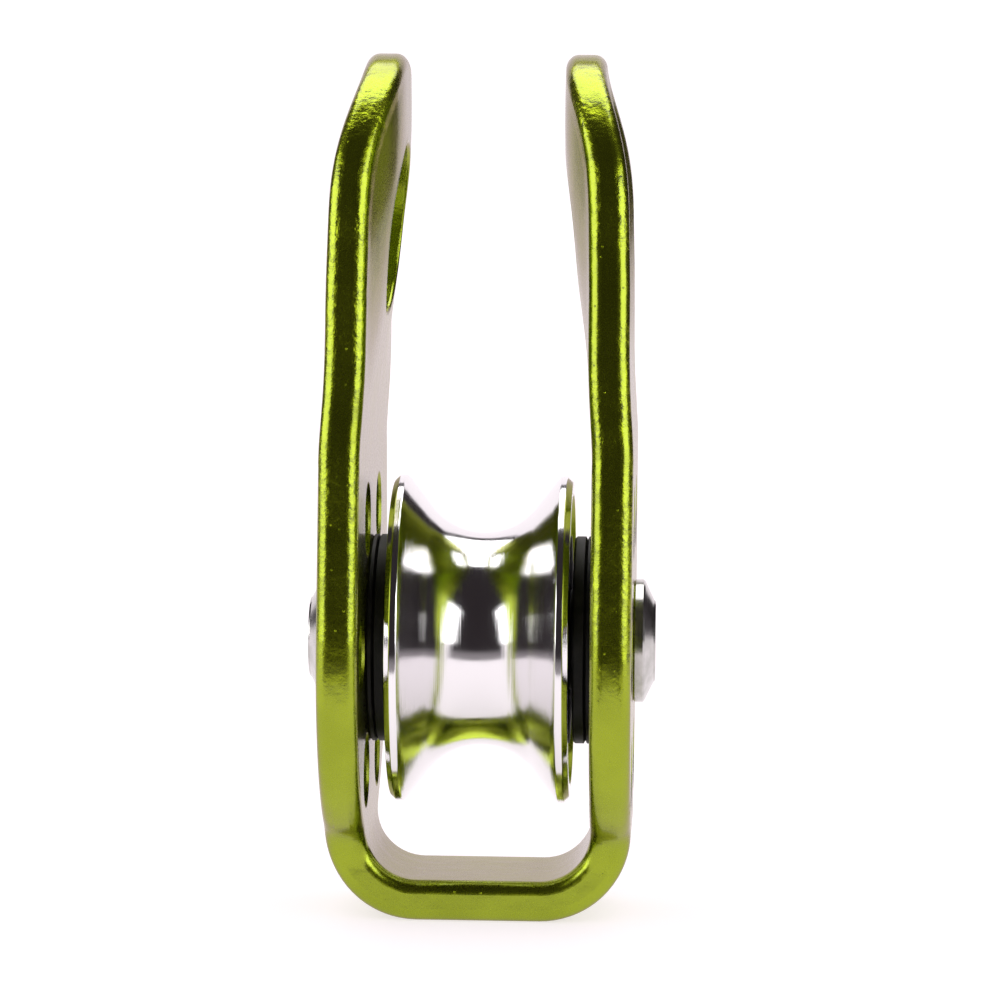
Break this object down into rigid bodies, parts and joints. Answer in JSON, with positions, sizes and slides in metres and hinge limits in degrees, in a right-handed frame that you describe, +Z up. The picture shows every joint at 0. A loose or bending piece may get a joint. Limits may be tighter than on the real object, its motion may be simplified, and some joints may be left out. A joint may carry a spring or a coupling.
{
  "type": "rope pulley",
  "caption": "Fixed-side pulley for ropes: a bent alloy frame with carabiner eyes holds a grooved sheave on sealed ball bearings and a riveted axle.",
  "frame": {"origin": "centre of the flat underside of the bend that joins the side plates", "axes": "+X along the axle, +Z up from the bend to the eyes, Y the way the rope runs"},
  "size_m": [0.038, 0.0464, 0.0941],
  "materials": {
    "anodised_alloy": "bright lime green anodised all over, glossy, turning silver grey where it is seen at a low angle",
    "polished_alloy": "turned and polished, mirror bright",
    "plated_steel": "bright plated, slightly clouded",
    "black_plastic": "black moulded plastic, low sheen",
    "bearing_steel": "ground bearing steel",
    "cage_brass": "machined",
    "seal_rubber": "black moulded rubber"
  },
  "bodies": {
    "frame": {"side_frame": "anodised_alloy", "axle_rivet": "plated_steel", "inner_ring_spacer": "plated_steel", "right_plate_washer": "black_plastic", "left_plate_washer": "black_plastic", "right_bearing_inner_ring": "bearing_steel", "left_bearing_inner_ring": "bearing_steel"},
    "wheel": {"sheave": "polished_alloy", "right_dust_disc": "black_plastic", "right_bearing_outer_ring": "bearing_steel", "right_bearing_outer_seal": "seal_rubber", "right_bearing_inner_seal": "seal_rubber", "left_dust_disc": "black_plastic", "left_bearing_outer_ring": "bearing_steel", "left_bearing_outer_seal": "seal_rubber", "left_bearing_inner_seal": "seal_rubber"},
    "right_ball_set": {"right_bearing_balls": "bearing_steel", "right_bearing_cage": "cage_brass"},
    "left_ball_set": {"left_bearing_balls": "bearing_steel", "left_bearing_cage": "cage_brass"}
  },
  "joints": [
    {"name": "sheave_spin", "type": "hinge", "parent": "frame", "child": "wheel", "pos_m": [0, 0, 0.03], "axis": [1, 0, 0], "continuous": true},
    {"name": "right_ball_set_spin", "type": "hinge", "parent": "frame", "child": "right_ball_set", "pos_m": [0, 0, 0.03], "axis": [1, 0, 0], "continuous": true},
    {"name": "left_ball_set_spin", "type": "hinge", "parent": "frame", "child": "left_ball_set", "pos_m": [0, 0, 0.03], "axis": [1, 0, 0], "continuous": true}
  ],
  "couplings": [
    {"joint": "right_ball_set_spin", "follows": "sheave_spin", "ratio": 0.61834},
    {"joint": "left_ball_set_spin", "follows": "sheave_spin", "ratio": 0.61834}
  ]
}
